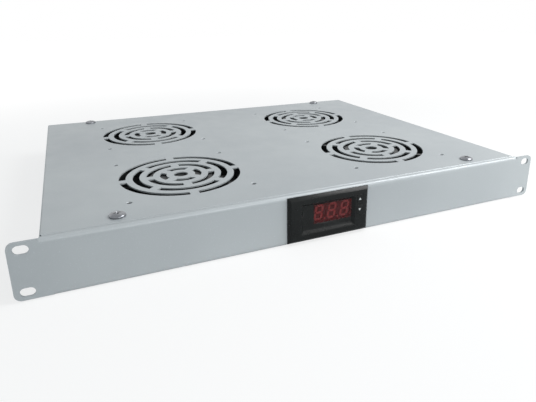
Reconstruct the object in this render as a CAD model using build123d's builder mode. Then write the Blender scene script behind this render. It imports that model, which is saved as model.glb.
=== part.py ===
from build123d import *
import os
from math import cos, radians, sin, tan

# Rack fan tray, one rack unit high, in millimetres: X to the right, Y to the back, Z up.
# The origin is the centre of the four rack slots, on the rear face of the ears.

# Rack panel: folded from thicker sheet than the tray
panel_sheet = 2.0
panel_width = 482.6
ear_height = 43.4
ear_corner = 5.0
rack_slot_inset = 8.75
rack_spacing_z = 31.75
rack_slot_length = 10.0
rack_slot_width = 6.8
panel_bend = 1.0
top_return = 1.9
foot_drop = 1.0
foot_flange = 12.0
foot_inset = 4.5
ear_width = 20.3

# Tray: an upturned pan with turned-in lips at the foot of its walls
tray_sheet = 1.2
tray_front = 3.2
tray_bend = 0.3
foot_lip = 12.0
front_lip = 12.0
side_tab = 18.0
fold_gap = 0.5

# Fans: two by two, hung under the top sheet
fan_size = 120.0
fan_depth = 38.0
fan_corner = 5.0
fan_bore = 116.0
fan_hole_pitch = 105.0
fan_half_spacing = 105.0
fan_front_y = 91.0
fan_row_spacing = 168.6
fan_rear_margin = 102.0
strut_width = 5.0
strut_depth = 6.0
motor_plate_drop = 1.0
motor_plate_radius = 29.0
motor_plate_thickness = 3.0
tube_radius = 7.5
tube_length = 22.0
bush_radius = 5.5
bush_length = 20.0
shaft_radius = 2.5
shaft_clearance = 0.05
lamination_reach = 24.5
lamination_width = 11.0
lamination_depth = 12.0
lamination_rise = 2.5
coil_wall = 3.0

# Impeller: a cup round the motor with tilted, cambered blades
hub_radius = 29.0
hub_wall = 2.5
hub_rise = 3.0
hub_gap = 1.0
boss_radius = 5.5
blade_count = 5
blade_tip_gap = 1.7
blade_chord = 36.0
blade_camber = 4.0
blade_thickness = 1.8
blade_root_depth = 2.2

# Air grille cut in the top sheet over each fan
grille_hole_radius = 6.5
grille_first_radius = 13.0
grille_slot = 6.0
grille_ring_pitch = 12.0
grille_rings = 4
grille_bridge = 7.5

# Threaded fasteners: shank radius, head or nut size
thread_play = 0.05
m3_radius = 1.45
m3_clear = 1.65
m3_nut_flat = 5.5
m3_nut_height = 2.4
m3_head_radius = 3.0
m4_radius = 1.95
m4_clear = 2.2
m4_nut_flat = 7.0
m4_nut_height = 3.2
m4_head_radius = 4.0
m4_head_height = 2.6
tapped_mouth = 0.45
fan_screw_recess = 0.7
panel_stud_length = 9.0
panel_stud_half_spacing = 11.0
m6_radius = 2.95
m6_clear = 3.2
m6_nut_flat = 10.0
m6_nut_height = 5.0
m6_head_radius = 6.2
m6_head_height = 3.0
m6_head_edge = 1.0
m6_length = 11.0
cross_length = 6.0
cross_width = 1.3
cross_depth = 1.8
corner_screw_side_inset = 52.2
corner_screw_front_y = 15.3
corner_screw_rear_inset = 9.6

# Thermostat: a panel instrument pushed through the rack panel from the front
bezel_side_overlap = 3.5
bezel_edge_overlap = 3.2
bezel_proud = 3.4
bezel_chamfer = 2.4
instrument_z = -0.5
case_width = 70.5
case_height = 34.6
case_depth = 50.0
case_wall = 2.0
case_corner = 1.5
cutout_clearance = 0.5
recess_side_margin = 11.55
recess_height = 27.4
recess_bevel = 2.6
recess_depth = 2.3
recess_window_margin = 0.1
window_top_gap = 2.6
window_width = 37.0
window_height = 17.2
window_wall = 1.5
window_rim = 1.8
window_rim_thickness = 0.8
moulding_fit = 0.1
module_side_overlap = 0.3
module_edge_overlap = 0.9
module_depth = 8.0
board_thickness = 1.6
board_gap = 0.2
edge_break = 0.2
key_window_gap = 2.1
key_side_gap = 0.45
key_top_gap = 0.8
key_spacing = 10.2
key_width = 5.6
key_height = 7.6
key_proud = 0.2
key_clearance = 0.15
key_rim = 0.4
key_rim_thickness = 0.8
key_stem = 3.0
key_travel = 0.4
switch_size = 6.0
switch_depth = 4.0
switch_slack = 0.1
control_board_gap = 1.25
control_board_rise = 3.2
relay_size = (15.0, 19.0, 15.0)
relay_inset = 6.5
transformer_size = (22.0, 20.0, 18.0)
transformer_step = 4.0
transformer_inset = 7.0
component_y = 27.0
back_thickness = 2.0
terminal_pitch = 7.0
terminal_poles = 7
terminal_height = 10.0
terminal_length = 14.0
terminal_overhang = 8.0
terminal_notch = 1.2
clip_thickness = 1.8
clip_length = 24.0
clip_foot = 6.0
clip_foot_thickness = 2.2
clip_height = 11.0

# Mains inlet with three flat pins, screwed to the rear wall
inlet_z = -0.5
inlet_flange_thickness = 3.0
inlet_flange_height = 22.6
inlet_flange_shoulder = 32.0
inlet_screw_spacing = 40.0
inlet_ear_radius = 5.0
inlet_flange_corner = 2.0
inlet_body_width = 27.4
inlet_body_height = 19.8
inlet_body_corner = 1.5
inlet_cavity_width = 24.6
inlet_cavity_height = 16.6
inlet_cavity_chamfer = 5.0
inlet_cavity_depth = 16.6
inlet_floor = 3.0
inlet_hole_clearance = 0.2
pin_width = 2.0
pin_height = 4.0
pin_length = 15.0
pin_spacing = 7.0
pin_offset = 2.0
tab_width = 6.3
tab_thickness = 0.8
tab_length = 9.0
receptacle_width = 4.4
receptacle_height = 8.6
receptacle_length = 20.0
receptacle_gap = 0.5

# Terminal block under the top sheet, between the fans
block_length = 60.0
block_depth = 17.0
block_base = 4.0
block_pole_width = 7.0
block_pole_height = 9.5
block_pole_spacing = 14.0
block_poles = 4
block_pole_corner = 1.0
block_entry_drop = 9.0
block_stud_length = 8.0

# Earth point on the top sheet
earth_y = 262.0
earth_stud_length = 10.0
lug_thickness = 0.8
lug_radius = 4.5
lug_barrel_radius = 1.8
lug_barrel_length = 8.0

# Leads, with the straight run at each end, and the temperature probe
fan_lead_radius = 1.8
fan_lead_offset = 40.0
core_radius = 1.2
mains_run_out = 40.0
mains_run_in = 44.0
earth_run = 16.0
thermostat_run_out = 28.0
thermostat_run_in = 27.0
probe_lead_radius = 1.3
probe_run = 18.0
probe_reach = 58.0
probe_radius = 2.8
probe_length = 25.0
probe_drop = 5.0
probe_clip_width = 8.4
probe_clip_length = 8.0

# Levels and faces worked out from the sizes above
rack_spacing_x = panel_width - 2 * rack_slot_inset
tray_width = panel_width - 2 * ear_width
tray_rear = fan_front_y + fan_row_spacing + fan_rear_margin
top_z = ear_height / 2
foot_z = -ear_height / 2 - foot_drop
roof_z = top_z - tray_sheet
half_width = tray_width / 2
panel_front = -panel_sheet
fan_top = roof_z
fan_foot = fan_top - fan_depth
fan_places = {
    "front_left": (-fan_half_spacing, fan_front_y),
    "front_right": (fan_half_spacing, fan_front_y),
    "rear_left": (-fan_half_spacing, fan_front_y + fan_row_spacing),
    "rear_right": (fan_half_spacing, fan_front_y + fan_row_spacing),
}
block_y = fan_front_y + fan_row_spacing / 2
corner_screw_x = half_width - corner_screw_side_inset
corner_screw_rear_y = tray_rear - corner_screw_rear_inset
corner_places = [
    (side * corner_screw_x, y) for side in (-1, 1) for y in (corner_screw_front_y, corner_screw_rear_y)
]
bezel_width = case_width + 2 * bezel_side_overlap
bezel_height = case_height + 2 * bezel_edge_overlap
bezel_front = panel_front - bezel_proud
recess_floor = bezel_front + recess_depth
case_front = recess_floor + window_wall
case_rear = case_depth
cutout_width = case_width + 2 * cutout_clearance
cutout_height = case_height + 2 * cutout_clearance

# Across the bezel, from the case's right wall: keys, window, recess
inner_side = case_width / 2 - case_wall
inner_top = instrument_z + case_height / 2 - case_wall
key_x = inner_side - key_side_gap - key_rim - key_width / 2
key_upper_z = inner_top - key_top_gap - key_rim - key_height / 2
key_lower_z = key_upper_z - key_spacing
window_x = key_x - key_width / 2 - key_rim - key_window_gap - window_rim - window_width / 2
window_z = inner_top - window_top_gap - window_rim - window_height / 2
module_width = window_width + 2 * module_side_overlap
module_height = window_height + 2 * module_edge_overlap
recess_left = -bezel_width / 2 + recess_side_margin
recess_right = window_x + window_width / 2 + recess_window_margin + recess_bevel
recess_x = (recess_left + recess_right) / 2
recess_width = recess_right - recess_left
control_board_width = 2 * (inner_side - control_board_gap)
relay_x = -control_board_width / 2 + relay_inset + relay_size[0] / 2
transformer_x = control_board_width / 2 - transformer_inset - transformer_size[0] / 2

os.makedirs("parts", exist_ok=True)


def save(piece, label):
    piece.part.label = label
    export_step(piece.part, f"parts/{label}.step")


def facing_front(y):
    """Plane across the tray at y whose outward side is the front."""
    return Plane.XZ.offset(-y)


# Rack panel: the ears stay flat, the body's top edge rolls back and its foot turns under
panel_outer_bend = panel_bend + panel_sheet
panel_mid_bend = panel_bend + panel_sheet / 2
panel_mid = -panel_sheet / 2
foot_half_width = half_width - foot_inset
with BuildPart() as front_panel:
    with BuildSketch(Plane.XZ):
        RectangleRounded(panel_width, ear_height, ear_corner)
        with Locations((0, top_z)):
            Rectangle(tray_width, 2 * panel_outer_bend, mode=Mode.SUBTRACT)
        with Locations((0, foot_z)):
            Rectangle(2 * foot_half_width, 2 * panel_outer_bend, mode=Mode.SUBTRACT)
        with GridLocations(rack_spacing_x, rack_spacing_z, 2, 2):
            SlotOverall(rack_slot_length, rack_slot_width, mode=Mode.SUBTRACT)
    extrude(amount=panel_sheet)
    with BuildSketch(Plane.YZ):
        with BuildLine():
            FilletPolyline(
                (panel_mid, top_z - 2 * panel_outer_bend),
                (panel_mid, top_z - panel_sheet / 2),
                (top_return, top_z - panel_sheet / 2),
                radius=panel_mid_bend,
            )
        trace(line_width=panel_sheet)
    extrude(amount=half_width, both=True)
    with BuildSketch(Plane.YZ):
        with BuildLine():
            FilletPolyline(
                (panel_mid, foot_z + 2 * panel_outer_bend),
                (panel_mid, foot_z + panel_sheet / 2),
                (foot_flange, foot_z + panel_sheet / 2),
                radius=panel_mid_bend,
            )
        trace(line_width=panel_sheet)
    extrude(amount=foot_half_width, both=True)
    with BuildSketch(Plane.XZ):
        with Locations((0, instrument_z)):
            Rectangle(cutout_width, cutout_height)
    extrude(amount=panel_sheet, mode=Mode.SUBTRACT)
save(front_panel, "front_panel")

# Tray: top sheet, side walls and lips are one fold, the rear wall and the front lip two more
tray_outer_bend = tray_bend + tray_sheet
tray_mid_bend = tray_bend + tray_sheet / 2
mid_top = top_z - tray_sheet / 2
mid_foot = foot_z + tray_sheet / 2
mid_side = half_width - tray_sheet / 2
mid_rear = tray_rear - tray_sheet / 2
mid_front = tray_front + tray_sheet / 2
lip_edge = half_width - foot_lip
tab_edge = half_width - side_tab
tab_foot = foot_z + panel_sheet + panel_bend + fold_gap
tab_top = top_z - panel_sheet - panel_bend - fold_gap
stud_x = half_width - side_tab / 2
walls_start = tray_front + tray_outer_bend
walls_end = tray_rear - tray_outer_bend

with BuildSketch() as grille:
    for ring in reversed(range(grille_rings)):
        inner = grille_first_radius + ring * grille_ring_pitch
        turn = 45 * ((ring + 1) % 2)
        Circle(inner + grille_slot)
        Circle(inner, mode=Mode.SUBTRACT)
        with Locations(Rotation(0, 0, turn)):
            Rectangle(2 * (inner + grille_slot), grille_bridge, mode=Mode.SUBTRACT)
            Rectangle(grille_bridge, 2 * (inner + grille_slot), mode=Mode.SUBTRACT)
    Circle(grille_hole_radius)

with BuildPart() as tray_body:
    with BuildSketch(Plane.YZ):
        with BuildLine():
            FilletPolyline(
                (walls_end - foot_lip, mid_top),
                (mid_rear, mid_top),
                (mid_rear, mid_foot),
                (tray_rear - foot_lip, mid_foot),
                radius=tray_mid_bend,
            )
        trace(line_width=tray_sheet)
    extrude(amount=half_width - tray_outer_bend, both=True)
    with BuildSketch(Plane.XY.offset(foot_z)):
        with GridLocations(2 * half_width - foot_lip, 0, 2, 1):
            with Locations((0, walls_end - foot_lip / 2)):
                Rectangle(foot_lip + 2 * fold_gap, foot_lip, mode=Mode.ADD)
    extrude(amount=tray_outer_bend, mode=Mode.SUBTRACT)
    with BuildSketch(Plane.YZ):
        with BuildLine():
            FilletPolyline(
                (walls_start + front_lip, mid_top),
                (mid_front, mid_top),
                (mid_front, top_z - front_lip),
                radius=tray_mid_bend,
            )
        trace(line_width=tray_sheet)
    extrude(amount=half_width - tray_outer_bend, both=True)
    with BuildSketch(facing_front(tray_front)):
        with Locations((0, roof_z - front_lip)):
            with GridLocations(tab_edge + half_width, 0, 2, 1):
                Rectangle(half_width - tab_edge + 2 * fold_gap, 2 * (front_lip - tray_bend))
        with Locations((0, instrument_z)):
            Rectangle(cutout_width + 2 * case_wall, cutout_height + case_wall)
    extrude(amount=-tray_sheet, mode=Mode.SUBTRACT)
    with BuildSketch(facing_front(walls_start)):
        with BuildLine():
            FilletPolyline(
                (-lip_edge, mid_foot),
                (-mid_side, mid_foot),
                (-mid_side, mid_top),
                (mid_side, mid_top),
                (mid_side, mid_foot),
                (lip_edge, mid_foot),
                radius=tray_mid_bend,
            )
        trace(line_width=tray_sheet)
    extrude(amount=walls_start - walls_end)
    with BuildSketch(Plane.XY.offset(foot_z)):
        with Locations((0, walls_start)):
            Rectangle(2 * (half_width - tray_sheet), 2 * (foot_flange + fold_gap - walls_start))
    extrude(amount=tray_sheet, mode=Mode.SUBTRACT)
    with BuildSketch(Plane.XY.offset(tab_foot)) as tab:
        with BuildLine():
            FilletPolyline(
                (mid_side, walls_start + tray_sheet),
                (mid_side, tray_sheet / 2),
                (tab_edge, tray_sheet / 2),
                radius=tray_mid_bend,
            )
        trace(line_width=tray_sheet)
        mirror(about=Plane.YZ)
    extrude(amount=tab_top - tab_foot)
    with BuildSketch(Plane.XZ):
        with GridLocations(2 * stud_x, 2 * panel_stud_half_spacing, 2, 2):
            Circle(m4_clear)
    extrude(amount=-tray_sheet, mode=Mode.SUBTRACT)
    with BuildSketch(Plane.XY.offset(roof_z)):
        with Locations(*fan_places.values()):
            add(grille.sketch)
        with Locations(*corner_places):
            Circle(m6_clear)
    extrude(amount=tray_sheet, mode=Mode.SUBTRACT)
    with Locations(*[(x, y, top_z) for x, y in fan_places.values()]):
        with GridLocations(fan_hole_pitch, fan_hole_pitch, 2, 2):
            CounterSinkHole(
                m4_radius + thread_play, m4_radius + thread_play + tapped_mouth, depth=tray_sheet
            )
    with BuildSketch(facing_front(tray_rear)):
        with Locations((0, inlet_z)):
            Rectangle(
                inlet_body_width + 2 * inlet_hole_clearance, inlet_body_height + 2 * inlet_hole_clearance
            )
            with GridLocations(inlet_screw_spacing, 0, 2, 1):
                Circle(m3_clear)
    extrude(amount=tray_sheet, mode=Mode.SUBTRACT)
save(tray_body, "tray_body")

# Weld studs on the back of the panel, which hold the tray's front tabs, and their nuts
with BuildPart() as panel_studs:
    with BuildSketch(Plane.XZ):
        with GridLocations(2 * stud_x, 2 * panel_stud_half_spacing, 2, 2):
            Circle(m4_radius)
    extrude(amount=-panel_stud_length)
save(panel_studs, "panel_studs")


def nut_shape(flat, thread_radius):
    RegularPolygon(flat / 2, 6, major_radius=False)
    Circle(thread_radius + thread_play, mode=Mode.SUBTRACT)


with BuildPart() as panel_nuts:
    with BuildSketch(facing_front(tray_sheet)):
        with GridLocations(2 * stud_x, 2 * panel_stud_half_spacing, 2, 2):
            nut_shape(m4_nut_flat, m4_radius)
    extrude(amount=-m4_nut_height)
save(panel_nuts, "panel_nuts")

# Bright cross-head screws at the corners of the top sheet, with nuts under it
with BuildPart() as corner_screws:
    for x, y in corner_places:
        with BuildSketch(Plane((x, y, 0), x_dir=(1, 0, 0), z_dir=(0, -1, 0))):
            with BuildLine():
                Line((0, top_z), (m6_head_radius, top_z))
                Line((m6_head_radius, top_z), (m6_head_radius, top_z + m6_head_edge))
                RadiusArc(
                    (m6_head_radius, top_z + m6_head_edge),
                    (0, top_z + m6_head_height),
                    -(m6_head_radius**2 + (m6_head_height - m6_head_edge) ** 2)
                    / (2 * (m6_head_height - m6_head_edge)),
                )
                Line((0, top_z + m6_head_height), (0, top_z))
            make_face()
        revolve(axis=Axis((x, y, 0), (0, 0, 1)))
    with BuildSketch(Plane.XY.offset(top_z)):
        with Locations(*corner_places):
            Circle(m6_radius)
    extrude(amount=-m6_length)
    with BuildSketch(Plane.XY.offset(top_z + m6_head_height)):
        with Locations(*corner_places):
            Rectangle(cross_length, cross_width)
            Rectangle(cross_width, cross_length)
    extrude(amount=-cross_depth, mode=Mode.SUBTRACT)
save(corner_screws, "corner_screws")

with BuildPart() as corner_nuts:
    with BuildSketch(Plane.XY.offset(roof_z)):
        with Locations(*corner_places):
            nut_shape(m6_nut_flat, m6_radius)
    extrude(amount=-m6_nut_height)
save(corner_nuts, "corner_nuts")

# Fan screws: up through each fan's corner posts into the tapped holes of the top sheet
with BuildPart() as fan_screws:
    with BuildSketch(Plane.XY.offset(fan_foot)) as screw_heads:
        with Locations(*fan_places.values()):
            with GridLocations(fan_hole_pitch, fan_hole_pitch, 2, 2):
                Circle(m4_head_radius)
    extrude(amount=-m4_head_height)
    with BuildSketch(Plane.XY.offset(fan_foot)):
        with Locations(*fan_places.values()):
            with GridLocations(fan_hole_pitch, fan_hole_pitch, 2, 2):
                Circle(m4_radius)
    extrude(amount=top_z - fan_screw_recess - fan_foot)
save(fan_screws, "fan_screws")

# Fan levels, from the top down
plate_top = fan_top - motor_plate_drop
plate_foot = plate_top - motor_plate_thickness
strut_foot = plate_top - strut_depth
tube_foot = plate_foot - tube_length
hub_top = strut_foot - hub_gap
hub_foot = fan_foot + hub_rise
hub_inner_radius = hub_radius - hub_wall
boss_top = tube_foot - hub_gap
blade_root = hub_radius - blade_root_depth
blade_tip = fan_bore / 2 - blade_tip_gap
blade_z = (hub_top + hub_foot) / 2


def fan_housing(place, x, y):
    """Square die-cast frame with a round air duct and a motor plate on four struts."""
    with BuildPart() as housing:
        with BuildSketch(Plane((x, y, fan_foot))):
            RectangleRounded(fan_size, fan_size, fan_corner)
            Circle(fan_bore / 2, mode=Mode.SUBTRACT)
            with GridLocations(fan_hole_pitch, fan_hole_pitch, 2, 2):
                Circle(m4_clear, mode=Mode.SUBTRACT)
        extrude(amount=fan_depth)
        with BuildSketch(Plane((x, y, strut_foot))):
            for turn in (45, 135):
                with Locations(Rotation(0, 0, turn)):
                    Rectangle(fan_bore + strut_width, strut_width)
        extrude(amount=strut_depth)
        with BuildSketch(Plane((x, y, plate_foot))):
            Circle(motor_plate_radius)
        extrude(amount=motor_plate_thickness)
        with BuildSketch(Plane((x, y, tube_foot))):
            Circle(tube_radius)
        extrude(amount=tube_length)
        with BuildSketch(Plane((x, y, tube_foot))):
            Circle(bush_radius)
        extrude(amount=tube_length, mode=Mode.SUBTRACT)
    save(housing, f"{place}_fan_housing")


def impeller(place, x, y):
    """Hub cup, open towards the motor, with tilted blades that clear the duct."""
    half_chord = blade_chord / 2
    with BuildPart() as rotor:
        for blade in range(blade_count):
            turn = radians(360 * blade / blade_count)
            outward = (cos(turn), sin(turn), 0)
            along = (-sin(turn), cos(turn), 0)
            section = Plane((x, y, blade_z), x_dir=along, z_dir=outward).offset(blade_root)
            with BuildSketch(section):
                with BuildLine():
                    ThreePointArc((-half_chord, 0), (0, blade_camber), (half_chord, 0))
                trace(line_width=blade_thickness)
            extrude(amount=fan_bore / 2 - blade_root)
        with BuildSketch(Plane((x, y, fan_foot))):
            Circle(blade_tip)
        extrude(amount=fan_depth, mode=Mode.INTERSECT)
        with BuildSketch(Plane((x, y, hub_foot))):
            Circle(hub_radius)
        extrude(amount=hub_top - hub_foot)
        with BuildSketch(Plane((x, y, hub_foot + hub_wall))):
            Circle(hub_inner_radius)
            Circle(boss_radius, mode=Mode.SUBTRACT)
        extrude(amount=fan_depth, mode=Mode.SUBTRACT)
        with BuildSketch(Plane((x, y, boss_top))):
            Circle(boss_radius)
        extrude(amount=fan_depth, mode=Mode.SUBTRACT)
        with BuildSketch(Plane((x, y, hub_foot + hub_wall / 2))):
            Circle(shaft_radius)
        extrude(amount=fan_depth, mode=Mode.SUBTRACT)
        fillet(rotor.edges().filter_by(GeomType.CIRCLE).group_by(Axis.Z)[0], hub_wall / 2)
    save(rotor, f"{place}_impeller")


def shaft(place, x, y):
    """Steel shaft, pressed into the hub's boss and turning in the bush."""
    with BuildPart() as rod:
        with BuildSketch(Plane((x, y, hub_foot + hub_wall / 2))):
            Circle(shaft_radius)
        extrude(amount=plate_foot - hub_gap - (hub_foot + hub_wall / 2))
    save(rod, f"{place}_shaft")


for fan, (fan_x, fan_y) in fan_places.items():
    fan_housing(fan, fan_x, fan_y)
    impeller(fan, fan_x, fan_y)
    shaft(fan, fan_x, fan_y)

# Motor stators: a four-armed lamination stack with a coil on each arm, round the bearing tube
stator_foot = tube_foot + lamination_rise
with BuildPart() as fan_stators:
    with BuildSketch(Plane.XY.offset(stator_foot)):
        with Locations(*fan_places.values()):
            Rectangle(2 * lamination_reach, lamination_width)
            Rectangle(lamination_width, 2 * lamination_reach)
            Circle(tube_radius, mode=Mode.SUBTRACT)
    extrude(amount=lamination_depth)
    with BuildSketch(Plane.XY.offset(stator_foot - coil_wall)):
        with Locations(*fan_places.values()):
            with PolarLocations((lamination_reach + tube_radius) / 2, 4):
                Rectangle((lamination_reach - tube_radius) / 2, lamination_width + 2 * coil_wall)
    extrude(amount=lamination_depth + 2 * coil_wall)
save(fan_stators, "fan_stators")

# Sintered sleeve bushes in the bearing tubes
with BuildPart() as fan_bushes:
    with BuildSketch(Plane.XY.offset(tube_foot)):
        with Locations(*fan_places.values()):
            Circle(bush_radius)
            Circle(shaft_radius + shaft_clearance, mode=Mode.SUBTRACT)
    extrude(amount=bush_length)
save(fan_bushes, "fan_bushes")

# Thermostat case: bezel, sunk display surround and box in one moulding, open at the back
key_places = {"up_key": key_upper_z, "down_key": key_lower_z}
with BuildPart() as thermostat_case:
    with BuildSketch(facing_front(panel_front)):
        with Locations((0, instrument_z)):
            Rectangle(bezel_width, bezel_height)
    extrude(amount=bezel_proud)
    chamfer(thermostat_case.faces().sort_by(Axis.Y)[0].edges(), bezel_chamfer)
    with BuildSketch(facing_front(panel_front)):
        with Locations((0, instrument_z)):
            RectangleRounded(case_width, case_height, case_corner)
    extrude(amount=panel_front - case_rear)
    with BuildSketch(facing_front(case_front)):
        with Locations((0, instrument_z)):
            Rectangle(case_width - 2 * case_wall, case_height - 2 * case_wall)
    extrude(amount=case_front - case_rear, mode=Mode.SUBTRACT)
    with BuildSketch(facing_front(bezel_front)):
        with Locations((recess_x, instrument_z)):
            Rectangle(recess_width, recess_height)
    with BuildSketch(facing_front(recess_floor)):
        with Locations((recess_x, instrument_z)):
            Rectangle(recess_width - 2 * recess_bevel, recess_height - 2 * recess_bevel)
    loft(ruled=True, mode=Mode.SUBTRACT)
    with BuildSketch(facing_front(bezel_front)):
        with Locations((window_x, window_z)):
            Rectangle(window_width, window_height)
        with Locations(*[(key_x, z) for z in key_places.values()]):
            Rectangle(key_width + 2 * key_clearance, key_height + 2 * key_clearance)
    extrude(amount=bezel_front - case_front, mode=Mode.SUBTRACT)
save(thermostat_case, "thermostat_case")

# Red display window, dropped in from behind until its rim stops it
window_back = case_front + window_rim_thickness
with BuildPart() as display_window:
    with BuildSketch(facing_front(recess_floor)):
        with Locations((window_x, window_z)):
            Rectangle(window_width - 2 * moulding_fit, window_height - 2 * moulding_fit)
    extrude(amount=-window_wall)
    with BuildSketch(facing_front(case_front)):
        with Locations((window_x, window_z)):
            Rectangle(window_width + 2 * window_rim, window_height + 2 * window_rim)
    extrude(amount=-window_rim_thickness)
save(display_window, "display_window")

# Three-digit display on its board, with the keys' switches beside it
board_y = window_back + module_depth
board_width = case_width - 2 * (case_wall + board_gap)
board_height = case_height - 2 * (case_wall + board_gap)
with BuildPart() as display_module:
    with BuildSketch(facing_front(window_back)):
        with Locations((window_x, window_z)):
            Rectangle(module_width, module_height)
    extrude(amount=-module_depth)
    chamfer(display_module.edges().filter_by(Axis.Y), edge_break)
save(display_module, "display_module")

with BuildPart() as display_board:
    with BuildSketch(facing_front(board_y)):
        with Locations((0, instrument_z)):
            Rectangle(board_width, board_height)
    extrude(amount=-board_thickness)
save(display_board, "display_board")

switch_front = board_y - switch_depth
with BuildPart() as key_switches:
    with BuildSketch(facing_front(board_y)):
        with Locations(*[(key_x, z) for z in key_places.values()]):
            Rectangle(switch_size, switch_size)
    extrude(amount=switch_depth)
    chamfer(key_switches.faces().group_by(Axis.Y)[0].edges(), edge_break)
save(key_switches, "key_switches")


def key(label, z):
    """Key cap with a rim that keeps it in the case and a stem that reaches its switch."""
    with BuildPart() as cap:
        with BuildSketch(facing_front(case_front)):
            with Locations((key_x, z)):
                Rectangle(key_width, key_height)
        extrude(amount=case_front - bezel_front + key_proud)
        chamfer(cap.faces().sort_by(Axis.Y)[0].edges(), key_proud)
        with BuildSketch(facing_front(case_front)):
            with Locations((key_x, z)):
                Rectangle(key_width + 2 * key_rim, key_height + 2 * key_rim)
        extrude(amount=-key_rim_thickness)
        with BuildSketch(facing_front(case_front)):
            with Locations((key_x, z)):
                Rectangle(key_stem, key_stem)
        extrude(amount=case_front - switch_front + key_travel + switch_slack)
    save(cap, label)


for key_label, key_z in key_places.items():
    key(key_label, key_z)

# Control board with its relay and transformer, on the floor of the case
board_back = board_y + board_thickness
control_z = instrument_z - case_height / 2 + case_wall + control_board_rise
control_top = control_z + board_thickness
terminal_front = case_rear + back_thickness + terminal_overhang - terminal_length
with BuildPart() as control_board:
    with BuildSketch(Plane.XY.offset(control_z)):
        with Locations((0, (board_back + case_rear - back_thickness) / 2)):
            Rectangle(control_board_width, case_rear - back_thickness - board_back)
    extrude(amount=board_thickness)
save(control_board, "control_board")

with BuildPart() as relay:
    with BuildSketch(Plane.XY.offset(control_top)):
        with Locations((relay_x, component_y)):
            Rectangle(relay_size[0], relay_size[1])
    extrude(amount=relay_size[2])
    chamfer(relay.faces().sort_by(Axis.Z)[-1].edges(), edge_break)
save(relay, "relay")

with BuildPart() as transformer:
    with BuildSketch(Plane.XY.offset(control_top)):
        with Locations((transformer_x, component_y)):
            Rectangle(transformer_size[0], transformer_size[1] / 2)
    extrude(amount=transformer_size[2])
    with BuildSketch(Plane.XY.offset(control_top)):
        with Locations((transformer_x, component_y)):
            Rectangle(transformer_size[0] / 2, transformer_size[1])
    extrude(amount=transformer_size[2] - transformer_step)
save(transformer, "transformer")

# Screw terminals at the back, and the cover that they come through
terminal_rear = terminal_front + terminal_length
terminal_z = control_top + terminal_height / 2
terminal_width = terminal_pitch * terminal_poles
with BuildPart() as thermostat_terminals:
    with BuildSketch(Plane.XY.offset(control_top)):
        with Locations((0, terminal_front + terminal_length / 2)):
            Rectangle(terminal_width, terminal_length)
        with Locations((0, terminal_rear)):
            with GridLocations(terminal_pitch, 0, terminal_poles - 1, 1):
                Rectangle(terminal_notch, terminal_length / 2, mode=Mode.SUBTRACT)
    extrude(amount=terminal_height)
save(thermostat_terminals, "thermostat_terminals")

with BuildPart() as thermostat_back:
    with BuildSketch(facing_front(case_rear)):
        with Locations((0, instrument_z)):
            RectangleRounded(case_width, case_height, case_corner)
    extrude(amount=-back_thickness)
    with BuildSketch(facing_front(case_rear)):
        with Locations((0, instrument_z)):
            Rectangle(board_width, board_height)
            Rectangle(
                control_board_width + 2 * board_gap, case_height - 4 * case_wall, mode=Mode.SUBTRACT
            )
    extrude(amount=back_thickness)
    with BuildSketch(facing_front(case_rear)):
        with Locations((0, terminal_z)):
            Rectangle(terminal_width + 2 * board_gap, terminal_height + 2 * board_gap)
    extrude(amount=-back_thickness, mode=Mode.SUBTRACT)
save(thermostat_back, "thermostat_back")

# Clips slid along the sides of the case until their feet grip the back of the panel
with BuildPart() as thermostat_clips:
    with BuildSketch(Plane.XY.offset(instrument_z - clip_height / 2)):
        with BuildLine():
            Polyline(
                (case_width / 2, 0),
                (case_width / 2 + clip_thickness + clip_foot, 0),
                (case_width / 2 + clip_thickness + clip_foot, clip_foot_thickness),
                (case_width / 2 + clip_thickness, clip_foot_thickness),
                (case_width / 2 + clip_thickness, clip_length),
                (case_width / 2, clip_length),
                close=True,
            )
        make_face()
        mirror(about=Plane.YZ)
    extrude(amount=clip_height)
save(thermostat_clips, "thermostat_clips")

# Mains inlet housing: flange outside the rear wall, body and pin cavity inside
inlet_face = tray_rear + inlet_flange_thickness
cavity_floor = inlet_face - inlet_cavity_depth
inlet_back = cavity_floor - inlet_floor
pin_places = [
    (-pin_spacing, inlet_z - pin_offset),
    (0, inlet_z + pin_offset),
    (pin_spacing, inlet_z - pin_offset),
]
with BuildPart() as inlet_housing:
    with BuildSketch(facing_front(inlet_face)):
        with Locations((0, inlet_z)):
            with GridLocations(
                inlet_flange_shoulder - 2 * inlet_flange_corner,
                inlet_flange_height - 2 * inlet_flange_corner,
                2,
                2,
            ):
                Circle(inlet_flange_corner)
            with GridLocations(inlet_screw_spacing, 0, 2, 1):
                Circle(inlet_ear_radius)
        make_hull()
    extrude(amount=inlet_flange_thickness)
    with BuildSketch(facing_front(tray_rear)):
        with Locations((0, inlet_z)):
            RectangleRounded(inlet_body_width, inlet_body_height, inlet_body_corner)
    extrude(amount=tray_rear - inlet_back)
    with BuildSketch(facing_front(inlet_face)) as cavity:
        with Locations((0, inlet_z)):
            Rectangle(inlet_cavity_width, inlet_cavity_height)
        chamfer(cavity.vertices().group_by(Axis.Y)[-1], inlet_cavity_chamfer)
    extrude(amount=inlet_cavity_depth, mode=Mode.SUBTRACT)
    with BuildSketch(facing_front(cavity_floor)):
        with Locations(*pin_places):
            Rectangle(pin_width, pin_height)
    extrude(amount=inlet_floor, mode=Mode.SUBTRACT)
    with Locations(Plane((0, inlet_face, inlet_z), x_dir=(-1, 0, 0), z_dir=(0, 1, 0))):
        with GridLocations(inlet_screw_spacing, 0, 2, 1):
            CounterSinkHole(
                m3_clear, m3_head_radius + thread_play, depth=inlet_flange_thickness, counter_sink_angle=90
            )
save(inlet_housing, "inlet_housing")

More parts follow.
